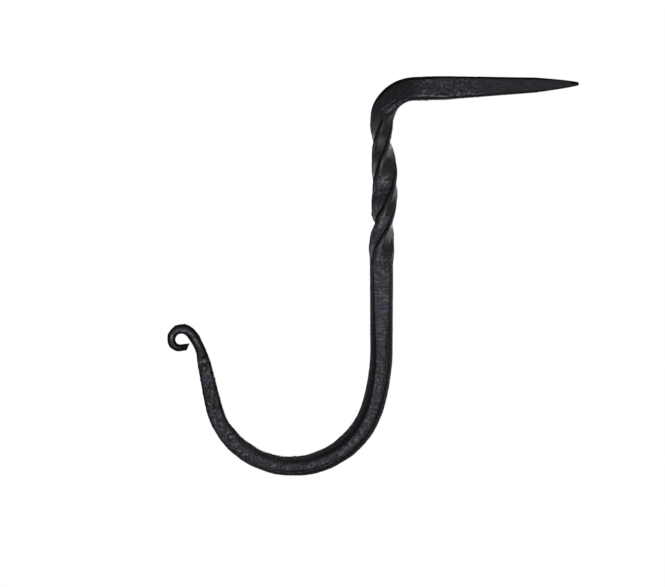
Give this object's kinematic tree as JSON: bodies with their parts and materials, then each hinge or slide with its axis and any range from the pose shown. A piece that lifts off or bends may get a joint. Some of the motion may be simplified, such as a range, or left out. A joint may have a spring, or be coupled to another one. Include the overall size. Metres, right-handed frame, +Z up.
{
  "type": "cup hook",
  "caption": "Forged drive-in hook: a tapered spike, a round top bend, a twisted stem, a J-shaped bow and a small rolled curl at the end.",
  "frame": {"origin": "where the middle line of the spike leaves the wall side of the stem", "axes": "+X along the spike into the wood, +Z up, and the hook lies in the XZ plane; the bow opens towards -X and up"},
  "size_m": [0.1048, 0.0062, 0.1017],
  "materials": {
    "black_finish": "satin black wax over hand-forged iron, slightly bluish, with hammer and scale marks"
  },
  "bodies": {
    "root": {"hook": "black_finish"}
  },
  "joints": []
}
